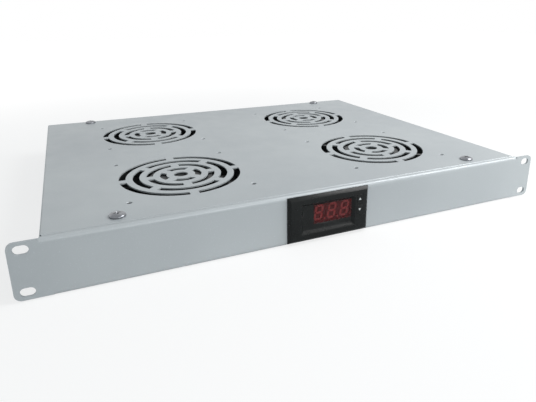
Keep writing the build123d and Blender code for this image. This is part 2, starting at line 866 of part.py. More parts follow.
# Inlet pins with their tabs behind, and the insulated receptacles pushed on the tabs
with BuildPart() as inlet_pins:
    with BuildSketch(facing_front(inlet_back)):
        with Locations(*pin_places):
            Rectangle(pin_width, pin_height)
    extrude(amount=-(inlet_floor + pin_length))
    chamfer(inlet_pins.faces().group_by(Axis.Y)[-1].edges(), pin_width / 4)
    with BuildSketch(facing_front(inlet_back)):
        with Locations(*pin_places):
            Rectangle(tab_thickness, tab_width)
    extrude(amount=tab_length)
save(inlet_pins, "inlet_pins")

receptacle_rear = inlet_back - receptacle_gap
receptacle_front = receptacle_rear - receptacle_length
with BuildPart() as inlet_receptacles:
    with BuildSketch(facing_front(receptacle_rear)):
        with Locations(*pin_places):
            Rectangle(receptacle_width, receptacle_height)
    extrude(amount=receptacle_length)
    with BuildSketch(facing_front(receptacle_rear)):
        with Locations(*pin_places):
            Rectangle(tab_thickness, tab_width)
    extrude(amount=tab_length - receptacle_gap, mode=Mode.SUBTRACT)
save(inlet_receptacles, "inlet_receptacles")

# Countersunk screws through the flange and the wall, with nuts inside
inlet_screw_length = inlet_flange_thickness + tray_sheet + 2 * m3_nut_height
with BuildPart() as inlet_screws:
    for screw_x in (-inlet_screw_spacing / 2, inlet_screw_spacing / 2):
        with BuildSketch(Plane((screw_x, inlet_face, inlet_z))):
            with BuildLine():
                Polyline(
                    (0, 0),
                    (m3_head_radius, 0),
                    (m3_radius, m3_radius - m3_head_radius),
                    (m3_radius, -inlet_screw_length),
                    (0, -inlet_screw_length),
                    close=True,
                )
            make_face()
        revolve(axis=Axis((screw_x, 0, inlet_z), (0, 1, 0)))
save(inlet_screws, "inlet_screws")

with BuildPart() as inlet_nuts:
    with BuildSketch(facing_front(tray_rear - tray_sheet)):
        with Locations((0, inlet_z)):
            with GridLocations(inlet_screw_spacing, 0, 2, 1):
                nut_shape(m3_nut_flat, m3_radius)
    extrude(amount=m3_nut_height)
save(inlet_nuts, "inlet_nuts")

# Terminal block: base against the top sheet, a square barrel for each pole
base_foot = roof_z - block_base
pole_places = [block_pole_spacing * (pole - (block_poles - 1) / 2) for pole in range(block_poles)]
with BuildPart() as terminal_block:
    with BuildSketch(Plane.XY.offset(base_foot)):
        with Locations((0, block_y)):
            Rectangle(block_length, block_depth)
            with GridLocations(2 * block_pole_spacing, 0, 2, 1):
                Circle(m3_clear, mode=Mode.SUBTRACT)
    extrude(amount=block_base)
    with BuildSketch(Plane.XY.offset(base_foot)):
        with Locations(*[(x, block_y) for x in pole_places]):
            Rectangle(block_pole_width, block_depth)
    extrude(amount=-block_pole_height)
    chamfer(terminal_block.faces().group_by(Axis.Z)[0].edges(), block_pole_corner)
save(terminal_block, "terminal_block")

with BuildPart() as terminal_studs:
    with BuildSketch(Plane.XY.offset(roof_z)):
        with Locations((0, block_y)):
            with GridLocations(2 * block_pole_spacing, 0, 2, 1):
                Circle(m3_radius)
    extrude(amount=-block_stud_length)
save(terminal_studs, "terminal_studs")

with BuildPart() as terminal_nuts:
    with BuildSketch(Plane.XY.offset(base_foot)):
        with Locations((0, block_y)):
            with GridLocations(2 * block_pole_spacing, 0, 2, 1):
                nut_shape(m3_nut_flat, m3_radius)
    extrude(amount=-m3_nut_height)
save(terminal_nuts, "terminal_nuts")

# Earth point: weld stud, crimped ring lug and nut
lug_foot = roof_z - lug_thickness
with BuildPart() as earth_stud:
    with BuildSketch(Plane((0, earth_y, roof_z))):
        Circle(m4_radius)
    extrude(amount=-earth_stud_length)
save(earth_stud, "earth_stud")

lug_axis_z = roof_z - lug_barrel_radius
lug_end = earth_y + lug_radius + lug_barrel_length
with BuildPart() as earth_lug:
    with BuildSketch(Plane((0, earth_y, lug_foot))):
        Circle(lug_radius)
        with Locations((0, lug_radius)):
            Rectangle(2 * lug_barrel_radius, lug_radius)
        Circle(m4_radius + thread_play, mode=Mode.SUBTRACT)
    extrude(amount=lug_thickness)
    with BuildSketch(Plane.XZ.offset(-lug_end)):
        with Locations((0, lug_axis_z)):
            Circle(lug_barrel_radius)
    extrude(amount=lug_barrel_length)
save(earth_lug, "earth_lug")

with BuildPart() as earth_nut:
    with BuildSketch(Plane((0, earth_y, lug_foot))):
        nut_shape(m4_nut_flat, m4_radius)
    extrude(amount=-m4_nut_height)
save(earth_nut, "earth_nut")


def bend_radii(points):
    """Each bend as large as its two runs allow."""
    radii = []
    for before, corner, after in zip(points, points[1:], points[2:]):
        arriving = Vector(*corner) - Vector(*before)
        leaving = Vector(*after) - Vector(*corner)
        half_turn = radians(arriving.get_angle(leaving) / 2)
        radii.append(0.45 * min(arriving.length, leaving.length) / tan(half_turn))
    return radii


def plain_lead(points, radius):
    """Lead of straight runs and tangent arcs, with a plain six-sided section."""
    radii = bend_radii(points)
    print("lead bends", [round(r, 1) for r in radii])
    with BuildPart() as lead:
        with BuildLine() as route:
            FilletPolyline(*points, radius=radii)
        with BuildSketch(Plane(points[0], z_dir=Vector(*points[1]) - Vector(*points[0]))):
            RegularPolygon(radius, 6)
        sweep(path=route.wires()[0])
    return lead.part


# Fan leads: out of the housing's inner side, round into the outer poles of the block
entry_z = roof_z - block_entry_drop
for fan, (fan_x, fan_y) in fan_places.items():
    inward = -1 if fan_x > 0 else 1
    towards_block = 1 if fan_y < block_y else -1
    lead_x = fan_x + inward * fan_size / 2
    lead_y = fan_y + towards_block * fan_lead_offset
    pole_x = pole_places[0] if fan_x < 0 else pole_places[-1]
    lead = plain_lead(
        [
            (lead_x, lead_y, entry_z),
            (pole_x, lead_y, entry_z),
            (pole_x, block_y - towards_block * block_depth / 2, entry_z),
        ],
        fan_lead_radius,
    )
    with BuildPart() as fan_lead:
        add(lead)
    save(fan_lead, f"{fan}_fan_lead")

# Live and neutral leads, from the receptacles up to the block's inner poles
block_front_y = block_y - block_depth / 2
block_rear_y = block_y + block_depth / 2
mains_cores = [
    plain_lead(
        [
            (x, receptacle_front, inlet_z - pin_offset),
            (x, receptacle_front - mains_run_out, inlet_z - pin_offset),
            (x, block_rear_y + mains_run_in, entry_z),
            (x, block_rear_y, entry_z),
        ],
        core_radius,
    )
    for x in (-pin_spacing, pin_spacing)
]
with BuildPart() as mains_leads:
    add(mains_cores)
save(mains_leads, "mains_leads")

earth_core = plain_lead(
    [
        (0, receptacle_front, inlet_z + pin_offset),
        (0, receptacle_front - earth_run, inlet_z + pin_offset),
        (0, lug_end + earth_run, lug_axis_z),
        (0, lug_end, lug_axis_z),
    ],
    core_radius,
)
with BuildPart() as earth_lead:
    add(earth_core)
save(earth_lead, "earth_lead")

# Thermostat leads, from its terminals back to the block
thermostat_cores = [
    plain_lead(
        [
            (x, terminal_rear, terminal_z),
            (x, terminal_rear + thermostat_run_out, terminal_z),
            (x, block_front_y - thermostat_run_in, entry_z),
            (x, block_front_y, entry_z),
        ],
        core_radius,
    )
    for x in (-terminal_pitch, terminal_pitch)
]
with BuildPart() as thermostat_leads:
    add(thermostat_cores)
save(thermostat_leads, "thermostat_leads")

# Temperature probe: a metal capsule in a clip under the top sheet, and its lead
probe_x = 2 * terminal_pitch
probe_z = roof_z - probe_drop
probe_y = terminal_rear + probe_reach
with BuildPart() as probe:
    with BuildSketch(facing_front(probe_y)):
        with Locations((probe_x, probe_z)):
            Circle(probe_radius)
    extrude(amount=-probe_length)
    fillet(probe.edges().group_by(Axis.Y)[-1], probe_radius / 2)
save(probe, "temperature_probe")

with BuildPart() as probe_clip:
    with BuildSketch(facing_front(probe_y + (probe_length - probe_clip_length) / 2)):
        with BuildLine():
            Polyline(
                (probe_x - probe_clip_width / 2, roof_z),
                (probe_x + probe_clip_width / 2, roof_z),
                (probe_x + probe_clip_width / 2, probe_z - probe_radius / 2),
                (probe_x - probe_clip_width / 2, probe_z - probe_radius / 2),
                close=True,
            )
        make_face()
        with Locations((probe_x, probe_z)):
            Circle(probe_radius, mode=Mode.SUBTRACT)
    extrude(amount=-probe_clip_length)
save(probe_clip, "probe_clip")

probe_core = plain_lead(
    [
        (probe_x, terminal_rear, terminal_z),
        (probe_x, terminal_rear + probe_run, terminal_z),
        (probe_x, probe_y - probe_run, probe_z),
        (probe_x, probe_y, probe_z),
    ],
    probe_lead_radius,
)
with BuildPart() as probe_lead:
    add(probe_core)
save(probe_lead, "probe_lead")
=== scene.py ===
import math

import bmesh
import bpy
from mathutils import Matrix, Vector


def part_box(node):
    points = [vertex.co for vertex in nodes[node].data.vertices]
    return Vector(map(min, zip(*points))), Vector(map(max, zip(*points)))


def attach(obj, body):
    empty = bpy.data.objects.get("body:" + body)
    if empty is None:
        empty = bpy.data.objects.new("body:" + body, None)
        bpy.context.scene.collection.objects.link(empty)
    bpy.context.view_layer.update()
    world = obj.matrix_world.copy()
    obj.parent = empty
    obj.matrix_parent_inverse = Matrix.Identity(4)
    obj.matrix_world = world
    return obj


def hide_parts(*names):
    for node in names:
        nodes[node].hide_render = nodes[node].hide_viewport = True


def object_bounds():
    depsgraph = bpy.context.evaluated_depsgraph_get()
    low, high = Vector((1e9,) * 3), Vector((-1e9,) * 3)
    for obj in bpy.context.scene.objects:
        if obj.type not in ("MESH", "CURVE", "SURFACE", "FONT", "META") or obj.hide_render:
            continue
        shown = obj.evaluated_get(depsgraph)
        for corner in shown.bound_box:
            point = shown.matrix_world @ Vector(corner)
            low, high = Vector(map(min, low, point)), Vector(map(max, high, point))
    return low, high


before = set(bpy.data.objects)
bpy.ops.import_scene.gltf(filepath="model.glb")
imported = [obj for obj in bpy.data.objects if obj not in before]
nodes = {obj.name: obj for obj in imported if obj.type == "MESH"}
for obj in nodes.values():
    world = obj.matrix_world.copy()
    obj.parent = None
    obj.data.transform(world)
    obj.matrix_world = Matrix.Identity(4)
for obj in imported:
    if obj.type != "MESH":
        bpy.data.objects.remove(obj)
cadLow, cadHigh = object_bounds()
scene = bpy.context.scene
mm = 0.001
fanNames = ["front_left", "front_right", "rear_left", "rear_right"]
print("frame:", len(nodes), "nodes")

# Camera, fitted to the rack slots, the panel's corners and the fans' screw holes
cameraView = {
    "place": (-0.190133, -0.336338, 0.168208),
    "heading": 24.34,  # degrees right of straight back
    "tilt": -17.23,
    "roll": -0.13,
    "lens": 32.445,
    "shift": (-0.03525, -0.0795),
}


def makeCamera():
    data = bpy.data.cameras.new("camera")
    data.lens = cameraView["lens"]
    data.shift_x, data.shift_y = cameraView["shift"]
    data.clip_start = 0.01
    data.clip_end = 60.0
    camera = bpy.data.objects.new("camera", data)
    scene.collection.objects.link(camera)
    turned = Matrix.Rotation(-math.radians(cameraView["heading"]), 4, "Z")
    tilted = Matrix.Rotation(math.radians(90 + cameraView["tilt"]), 4, "X")
    rolled = Matrix.Rotation(math.radians(cameraView["roll"]), 4, "Z")
    camera.matrix_world = Matrix.Translation(cameraView["place"]) @ turned @ tilted @ rolled
    scene.camera = camera


makeCamera()
scene.view_settings.view_transform = "Standard"
print("camera placed")


# Shader building
def rgb(red, green, blue):  # screen values 0 to 255, as a linear colour
    return tuple(((c / 255 + 0.055) / 1.055) ** 2.4 if c > 10 else c / 255 / 12.92 for c in (red, green, blue)) + (1.0,)


def addNode(tree, kind, inputs=None, **settings):
    made = tree.nodes.new(kind)
    for setting, value in settings.items():
        setattr(made, setting, value)
    for label, value in (inputs or {}).items():
        made.inputs[label].default_value = value
    return made


def startMaterial(name):
    material = bpy.data.materials.new(name)
    material.use_nodes = True
    tree = material.node_tree
    coords = addNode(tree, "ShaderNodeTexCoord").outputs["Object"]
    return material, tree, tree.nodes["Principled BSDF"], coords


def noiseOf(tree, vector, grain, detail=2.0):
    noise = addNode(tree, "ShaderNodeTexNoise", {"Scale": 1 / grain, "Detail": detail})
    tree.links.new(vector, noise.inputs["Vector"])
    return noise.outputs["Fac"]


def mixColors(tree, factor, first, second):  # each colour is a socket or a fixed value
    mix = addNode(tree, "ShaderNodeMix", data_type="RGBA")
    for socket, value in ((mix.inputs[0], factor), (mix.inputs[6], first), (mix.inputs[7], second)):
        if isinstance(value, bpy.types.NodeSocket):
            tree.links.new(value, socket)
        else:
            socket.default_value = value
    return mix.outputs[2]


def remap(tree, value, low, high, newLow, newHigh):
    ranged = addNode(
        tree, "ShaderNodeMapRange", {"From Min": low, "From Max": high, "To Min": newLow, "To Max": newHigh}
    )
    tree.links.new(value, ranged.inputs["Value"])
    return ranged.outputs["Result"]


def bumpInto(tree, shader, height, depth, strength=1.0):
    bump = addNode(tree, "ShaderNodeBump", {"Strength": strength, "Distance": depth})
    tree.links.new(height, bump.inputs["Height"])
    tree.links.new(bump.outputs["Normal"], shader.inputs["Normal"])


roughSpread = 0.06  # how far a finish strays from its roughness


def finish(name, light, dark, patch, rough, metal=0.0, grain=0.001, bump=0.0, coat=0.0, gloss=0.5):
    material, tree, shader, coords = startMaterial(name)
    tone = noiseOf(tree, coords, patch, 3.0)
    tree.links.new(
        mixColors(tree, remap(tree, tone, 0.35, 0.65, 0.0, 1.0), dark, light), shader.inputs["Base Color"]
    )
    shade = noiseOf(tree, coords, patch * 0.4)
    tree.links.new(
        remap(tree, shade, 0.3, 0.7, rough - roughSpread, rough + roughSpread), shader.inputs["Roughness"]
    )
    shader.inputs["Metallic"].default_value = metal
    shader.inputs["Coat Weight"].default_value = coat
    shader.inputs["Specular IOR Level"].default_value = gloss
    bumpInto(tree, shader, noiseOf(tree, coords, grain), bump)
    return material


def powderCoat(name, look):
    material, tree, shader, coords = startMaterial(name)
    broad = remap(tree, noiseOf(tree, coords, look["patch"]), 0.35, 0.65, 0.0, 1.0)
    base = mixColors(tree, broad, look["dark"], look["light"])
    flecks = remap(tree, noiseOf(tree, coords, look["fleckSize"], 1.0), 0.62, 0.78, 0.0, look["fleckShare"])
    tree.links.new(mixColors(tree, flecks, base, look["fleck"]), shader.inputs["Base Color"])
    shade = remap(tree, noiseOf(tree, coords, look["shadePatch"]), 0.3, 0.7, *look["rough"])
    tree.links.new(shade, shader.inputs["Roughness"])
    bumpInto(tree, shader, noiseOf(tree, coords, look["peelSize"], 1.0), look["peelDepth"], look["peelStrength"])
    shader.inputs["Metallic"].default_value = look["metal"]
    shader.inputs["Specular IOR Level"].default_value = look["gloss"]
    return material


paint = {
    "light": rgb(186, 191, 193), "dark": rgb(178, 183, 186), "fleck": rgb(204, 210, 214), "patch": 0.16,
    "fleckSize": 0.0011, "fleckShare": 0.35, "shadePatch": 0.02, "rough": (0.36, 0.46), "peelSize": 0.0022,
    "peelDepth": 0.00002, "peelStrength": 0.6, "metal": 0.2, "gloss": 0.3,
}
panelPaint = powderCoat("panelPaint", paint)
black = {"light": rgb(34, 37, 38), "dark": rgb(26, 28, 29)}
blackCasting = finish("blackCasting", black["light"], black["dark"], 0.02, 0.45, grain=0.0009, bump=0.00004)
blackPlastic = finish(
    "blackPlastic", rgb(18, 21, 21), rgb(14, 17, 17), 0.012, 0.3, grain=0.0005, bump=0.000008, gloss=0.22
)
fanPlastic = finish("fanPlastic", rgb(30, 31, 32), rgb(24, 25, 26), 0.02, 0.38, grain=0.0008, bump=0.000015)
zinc = finish("zinc", rgb(205, 208, 212), rgb(176, 180, 186), 0.004, 0.3, metal=1.0, grain=0.0006, bump=0.00001)
nickel = finish("nickel", rgb(150, 152, 156), rgb(118, 121, 126), 0.006, 0.22, metal=1.0, grain=0.001, bump=0.000006)
brass = finish("brass", rgb(214, 208, 190), rgb(190, 182, 160), 0.004, 0.25, metal=1.0, grain=0.001, bump=0.000005)
bronze = finish("bronze", rgb(178, 128, 78), rgb(140, 96, 54), 0.002, 0.45, metal=1.0, grain=0.0005, bump=0.00002)
shaftSteel = finish(
    "shaftSteel", rgb(200, 201, 204), rgb(180, 181, 184), 0.003, 0.18, metal=1.0, grain=0.0004, bump=0.000002
)
probeSteel = finish(
    "probeSteel", rgb(205, 206, 206), rgb(186, 188, 190), 0.004, 0.24, metal=1.0, grain=0.0006, bump=0.000004
)
tin = finish("tin", rgb(196, 196, 192), rgb(172, 172, 168), 0.003, 0.38, metal=1.0, grain=0.0007, bump=0.00001)
nylon = finish("nylon", rgb(226, 223, 212), rgb(214, 210, 196), 0.01, 0.45, grain=0.0006, bump=0.00001)
orangeNylon = finish("orangeNylon", rgb(216, 122, 46), rgb(200, 104, 34), 0.01, 0.42, grain=0.0006, bump=0.00001)
boardGreen = finish("boardGreen", rgb(42, 104, 66), rgb(24, 78, 46), 0.0025, 0.3, grain=0.001, bump=0.00002, coat=0.3)
relayBlue = finish("relayBlue", rgb(40, 78, 140), rgb(32, 66, 124), 0.01, 0.35, grain=0.0008, bump=0.00001)
terminalGreen = finish("terminalGreen", rgb(58, 134, 78), rgb(46, 118, 66), 0.01, 0.4, grain=0.0006, bump=0.00001)
blackSheath = finish("blackSheath", rgb(34, 34, 35), rgb(26, 26, 27), 0.006, 0.5, grain=0.001, bump=0.00002)
brownSheath = finish("brownSheath", rgb(104, 62, 38), rgb(90, 52, 30), 0.006, 0.45, grain=0.001, bump=0.00001)
blueSheath = finish("blueSheath", rgb(44, 92, 168), rgb(36, 80, 152), 0.006, 0.45, grain=0.001, bump=0.00001)
earthSheath = finish("earthSheath", rgb(196, 202, 40), rgb(60, 140, 52), 0.003, 0.45, grain=0.001, bump=0.00001)
redSleeve = finish("redSleeve", rgb(176, 44, 38), rgb(160, 36, 32), 0.006, 0.4, grain=0.001, bump=0.00001)
glossBlack = finish("glossBlack", rgb(30, 31, 32), rgb(24, 25, 26), 0.01, 0.28, grain=0.0012, bump=0.00001)
blackOxide = finish("blackOxide", rgb(70, 71, 74), rgb(52, 53, 56), 0.003, 0.36, metal=1.0, grain=0.0006, bump=0.00001)


def laminations():
    material, tree, shader, coords = startMaterial("laminations")
    wave = addNode(
        tree, "ShaderNodeTexWave", {"Scale": 320.0, "Distortion": 0.6, "Detail": 1.0}, bands_direction="Z"
    )
    tree.links.new(coords, wave.inputs["Vector"])
    tree.links.new(mixColors(tree, wave.outputs["Fac"], rgb(64, 56, 50), rgb(128, 84, 52)), shader.inputs["Base Color"])
    tree.links.new(remap(tree, noiseOf(tree, coords, 0.003), 0.3, 0.7, 0.35, 0.55), shader.inputs["Roughness"])
    shader.inputs["Metallic"].default_value = 0.8
    bumpInto(tree, shader, wave.outputs["Fac"], 0.00008)
    return material


def redWindow():
    material, tree, shader, coords = startMaterial("redWindow")
    tree.links.new(
        mixColors(tree, noiseOf(tree, coords, 0.02), rgb(96, 8, 12), rgb(84, 6, 10)), shader.inputs["Base Color"]
    )
    tree.links.new(remap(tree, noiseOf(tree, coords, 0.004), 0.3, 0.7, 0.1, 0.16), shader.inputs["Roughness"])
    shader.inputs["Alpha"].default_value = 0.45
    return material


laminated = laminations()
windowRed = redWindow()
digitFace = finish("digitFace", rgb(98, 16, 18), rgb(84, 12, 15), 0.01, 0.4, grain=0.001, bump=0.00001)
digitRed = finish("digitRed", rgb(168, 62, 62), rgb(154, 54, 55), 0.006, 0.35, grain=0.001, bump=0.000005)
markWhite = finish("markWhite", rgb(205, 208, 208), rgb(186, 190, 190), 0.002, 0.5, grain=0.0004, bump=0.00001)

nodeFinishes = {
    "front_panel": panelPaint, "tray_body": panelPaint,
    "panel_studs": zinc, "panel_nuts": zinc, "corner_screws": nickel, "corner_nuts": zinc, "fan_screws": blackOxide,
    "fan_stators": laminated, "fan_bushes": bronze,
    "thermostat_case": blackPlastic, "thermostat_back": blackPlastic, "display_window": windowRed,
    "display_module": digitFace, "display_board": boardGreen, "key_switches": glossBlack,
    "up_key": blackPlastic, "down_key": blackPlastic, "control_board": boardGreen, "relay": relayBlue,
    "transformer": laminated, "thermostat_terminals": terminalGreen, "thermostat_clips": orangeNylon,
    "temperature_probe": probeSteel, "probe_clip": nylon, "probe_lead": blackSheath,
    "thermostat_leads": brownSheath, "mains_leads": brownSheath, "earth_lead": earthSheath,
    "earth_stud": zinc, "earth_nut": zinc, "earth_lug": tin,
    "terminal_block": nylon, "terminal_studs": zinc, "terminal_nuts": zinc,
    "inlet_housing": glossBlack, "inlet_pins": brass, "inlet_receptacles": redSleeve,
    "inlet_screws": zinc, "inlet_nuts": zinc,
}
for fan in fanNames:
    nodeFinishes[f"{fan}_fan_housing"] = blackCasting
    nodeFinishes[f"{fan}_impeller"] = fanPlastic
    nodeFinishes[f"{fan}_shaft"] = shaftSteel
    nodeFinishes[f"{fan}_fan_lead"] = blackSheath
for nodeName, material in nodeFinishes.items():
    slots = nodes[nodeName].material_slots
    if not slots:
        nodes[nodeName].data.materials.append(material)
    for slot in nodes[nodeName].material_slots:
        slot.material = material
print("finishes on every node")


# Pieces
def newPiece(name, mesh):
    piece = bpy.data.objects.new(name, mesh)
    scene.collection.objects.link(piece)
    return piece


def settle(piece):  # turns what the modifiers make into the piece's own mesh
    bpy.context.view_layer.update()
    graph = bpy.context.evaluated_depsgraph_get()
    mesh = bpy.data.meshes.new_from_object(piece.evaluated_get(graph), depsgraph=graph)
    piece.modifiers.clear()
    piece.data = mesh
    return piece


shadeAngles = {"leads": 35, "copies": 30, "softened": 22, "impellers": 40}  # sharper edges than these stay hard


def shadeByAngle(piece, angle):
    piece.data.shade_smooth()
    piece.data.set_sharp_from_angle(angle=math.radians(angle))


softening = {"mergeGap": 0.003, "flatAngle": 0.5, "edgeAngle": 35, "segments": 2}


def softened(nodeName, name, edge, flat):  # a copy of a node with its edges broken
    piece = newPiece(name, nodes[nodeName].data.copy())
    work = bmesh.new()
    work.from_mesh(piece.data)
    bmesh.ops.remove_doubles(work, verts=work.verts, dist=softening["mergeGap"] * mm)
    if flat:
        flatAngle = math.radians(softening["flatAngle"])
        bmesh.ops.dissolve_limit(work, angle_limit=flatAngle, verts=work.verts, edges=work.edges)
    work.to_mesh(piece.data)
    work.free()
    bevel = piece.modifiers.new("edges", "BEVEL")
    bevel.width = edge * mm
    bevel.segments = softening["segments"]
    bevel.limit_method = "ANGLE"
    bevel.angle_limit = math.radians(softening["edgeAngle"])
    bevel.use_clamp_overlap = True
    settle(piece)
    shadeByAngle(piece, shadeAngles["softened"])
    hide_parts(nodeName)
    return piece


# Shapes shared by several pieces, in millimetres until they are made
def meshFrom(name, work):
    bmesh.ops.recalc_face_normals(work, faces=work.faces)
    mesh = bpy.data.meshes.new(name)
    work.to_mesh(mesh)
    work.free()
    return newPiece(name, mesh)


def ringAt(work, radii, height):
    count = len(radii)
    turns = [math.tau * step / count for step in range(count)]
    return [
        work.verts.new((r * math.cos(turn) * mm, r * math.sin(turn) * mm, height * mm))
        for r, turn in zip(radii, turns)
    ]


def skin(work, rings):
    for lower, upper in zip(rings, rings[1:]):
        count = max(len(lower), len(upper))
        for step in range(count):
            after = (step + 1) % count
            corners = [
                lower[step % len(lower)], lower[after % len(lower)],
                upper[after % len(upper)], upper[step % len(upper)],
            ]
            work.faces.new(list(dict.fromkeys(corners)))


def lathe(name, profile, segments=32):  # pairs of radius and height, from the bottom centre to the top centre
    work = bmesh.new()
    rings = []
    for radius, height in profile:
        if radius:
            rings.append(ringAt(work, [radius] * segments, height))
        else:
            rings.append([work.verts.new((0, 0, height * mm))])
    skin(work, rings)
    return meshFrom(name, work)


def threadedRod(name, radius, pitch, low, high, segments=18):
    work = bmesh.new()
    depth = 0.28 * pitch
    steps = round(4 * (high - low) / pitch)
    rings = []
    for level in range(steps + 1):
        height = low + (high - low) * level / steps
        end = level in (0, steps)
        phases = [(height / pitch - step / segments) % 1 for step in range(segments)]
        radii = [radius - depth * (1 if end else abs(2 * phase - 1)) for phase in phases]
        rings.append(ringAt(work, radii, height))
    skin(work, rings)
    work.faces.new(list(reversed(rings[0])))
    work.faces.new(rings[-1])
    return meshFrom(name, work)


def taperedBar(name, length, width, low, high, taper, turn=0.0):  # narrower at its low end
    work = bmesh.new()
    rings = []
    for height, spare in ((low, taper), (high, 0)):
        halfLength, halfWidth = length / 2 - spare, width / 2 - spare * 0.3
        corners = [
            (-halfLength, -halfWidth), (halfLength, -halfWidth), (halfLength, halfWidth), (-halfLength, halfWidth),
        ]
        rings.append([work.verts.new((x * mm, y * mm, height * mm)) for x, y in corners])
    skin(work, rings)
    work.faces.new(list(reversed(rings[0])))
    work.faces.new(rings[1])
    bmesh.ops.rotate(work, verts=work.verts, matrix=Matrix.Rotation(turn, 3, "Z"))
    return meshFrom(name, work)


def combine(piece, others, operation="DIFFERENCE"):
    for other in others:
        cut = piece.modifiers.new("cut", "BOOLEAN")
        cut.operation = operation
        cut.solver = "EXACT"
        cut.object = other
    settle(piece)
    for other in others:
        bpy.data.objects.remove(other)
    return piece


def joined(name, pieces):
    work = bmesh.new()
    for piece in pieces:
        work.from_mesh(piece.data)
        bpy.data.objects.remove(piece)
    return meshFrom(name, work)


def crossRecess(length, width, low, high):
    return [taperedBar("arm", length, width, low, high, 0.18 * length, turn) for turn in (0.0, math.pi / 2)]


def hexNut(name, flat, height, hole):
    corner = flat / math.sqrt(3)
    rim = 0.48 * flat
    slope = (1.02 * corner - rim) * math.tan(math.radians(30))
    nut = lathe(name, [(0, 0), (corner, 0), (corner, height), (0, height)], 6)
    cone = lathe(
        "cone",
        [(0, 0), (rim, 0), (1.02 * corner, slope), (1.02 * corner, height - slope), (rim, height), (0, height)],
    )
    combine(nut, [cone], "INTERSECT")
    mouth = 0.12 * hole
    bore = lathe(
        "bore",
        [
            (0, -0.1), (hole + mouth, -0.1), (hole + mouth, 0), (hole, mouth), (hole, height - mouth),
            (hole + mouth, height), (hole + mouth, height + 0.1), (0, height + 0.1),
        ],
        24,
    )
    return combine(nut, [bore])


# Geometry Nodes tree that sets copies of one small shape at given points
def linkAll(tree, pairs):
    for first, second in pairs:
        tree.links.new(first, second)


def makeInputs(tree, kinds):
    made = {}
    for label, kind in kinds.items():
        made[label] = tree.interface.new_socket(label, in_out="INPUT", socket_type=f"NodeSocket{kind}").identifier
    tree.interface.new_socket("Geometry", in_out="OUTPUT", socket_type="NodeSocketGeometry")
    return made


copiesTree = bpy.data.node_groups.new("copiesAtPoints", "GeometryNodeTree")
copiesInputs = makeInputs(
    copiesTree,
    {"Geometry": "Geometry", "Shape": "Object", "Turn": "Vector", "Spin": "Float", "Seed": "Int", "Finish": "Material"},
)


def buildCopiesTree(tree):
    given = addNode(tree, "NodeGroupInput").outputs
    result = addNode(tree, "NodeGroupOutput")
    shape = addNode(tree, "GeometryNodeObjectInfo")
    turn = addNode(tree, "FunctionNodeEulerToRotation")
    place = addNode(tree, "GeometryNodeInstanceOnPoints")
    chance = addNode(tree, "FunctionNodeRandomValue", data_type="FLOAT")
    back = addNode(tree, "ShaderNodeMath", operation="MULTIPLY")
    back.inputs[1].default_value = -1
    axis = addNode(tree, "ShaderNodeCombineXYZ")
    spin = addNode(tree, "FunctionNodeEulerToRotation")
    rotate = addNode(tree, "GeometryNodeRotateInstances")
    real = addNode(tree, "GeometryNodeRealizeInstances")
    paint = addNode(tree, "GeometryNodeSetMaterial")
    linkAll(tree, [
        (given["Shape"], shape.inputs["Object"]), (given["Turn"], turn.inputs["Euler"]),
        (given["Geometry"], place.inputs["Points"]), (shape.outputs["Geometry"], place.inputs["Instance"]),
        (turn.outputs["Rotation"], place.inputs["Rotation"]), (given["Spin"], back.inputs[0]),
        (back.outputs[0], chance.inputs[2]), (given["Spin"], chance.inputs[3]), (given["Seed"], chance.inputs["Seed"]),
        (chance.outputs[1], axis.inputs["Z"]), (axis.outputs[0], spin.inputs["Euler"]),
        (place.outputs[0], rotate.inputs["Instances"]), (spin.outputs["Rotation"], rotate.inputs["Rotation"]),
        (rotate.outputs[0], real.inputs["Geometry"]), (real.outputs[0], paint.inputs["Geometry"]),
        (given["Finish"], paint.inputs["Material"]), (paint.outputs[0], result.inputs[0]),
    ])


buildCopiesTree(copiesTree)


def makeCopies(name, shape, places, material, turn=(0.0, 0.0, 0.0), spin=0.0, seed=1):
    points = bpy.data.meshes.new(name)
    points.from_pydata([tuple(place) for place in places], [], [])
    piece = newPiece(name, points)
    modifier = piece.modifiers.new("copies", "NODES")
    modifier.node_group = copiesTree
    settings = {"Shape": shape, "Turn": turn, "Spin": spin, "Seed": seed, "Finish": material}
    for label, value in settings.items():
        modifier[copiesInputs[label]] = value
    settle(piece)
    bpy.data.objects.remove(shape)
    shadeByAngle(piece, shadeAngles["copies"])
    return piece


def spots(nodeName, reach):  # middles of a node's outer solids, each axis so far in from its box, or its middle
    low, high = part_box(nodeName)
    axes = []
    for axis, inset in enumerate(reach):
        if inset is None:
            axes.append([(low[axis] + high[axis]) / 2])
        else:
            axes.append([low[axis] + inset * mm, high[axis] - inset * mm])
    return [Vector((x, y, z)) for x in axes[0] for y in axes[1] for z in axes[2]]


def at(places, z):
    return [(x, y, z) for x, y, _ in places]


def stand(piece, nodeName, body="chassis"):
    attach(piece, body)
    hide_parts(nodeName)


# Nuts
nutSizes = {
    "corner_nuts": {"name": "cornerNuts", "flat": 10.0, "height": 5.0, "hole": 2.95},
    "panel_nuts": {"name": "panelNuts", "flat": 7.0, "height": 3.2, "hole": 1.95, "way": "back"},
    "earth_nut": {"name": "earthNut", "flat": 7.0, "height": 3.2, "hole": 1.95, "alone": True},
    "terminal_nuts": {"name": "terminalNuts", "flat": 5.5, "height": 2.4, "hole": 1.45, "pair": True},
    "inlet_nuts": {"name": "inletNuts", "flat": 5.5, "height": 2.4, "hole": 1.45, "way": "front", "pair": True},
}
wayTurns = {"up": 0.0, "back": -math.pi / 2, "front": math.pi / 2}


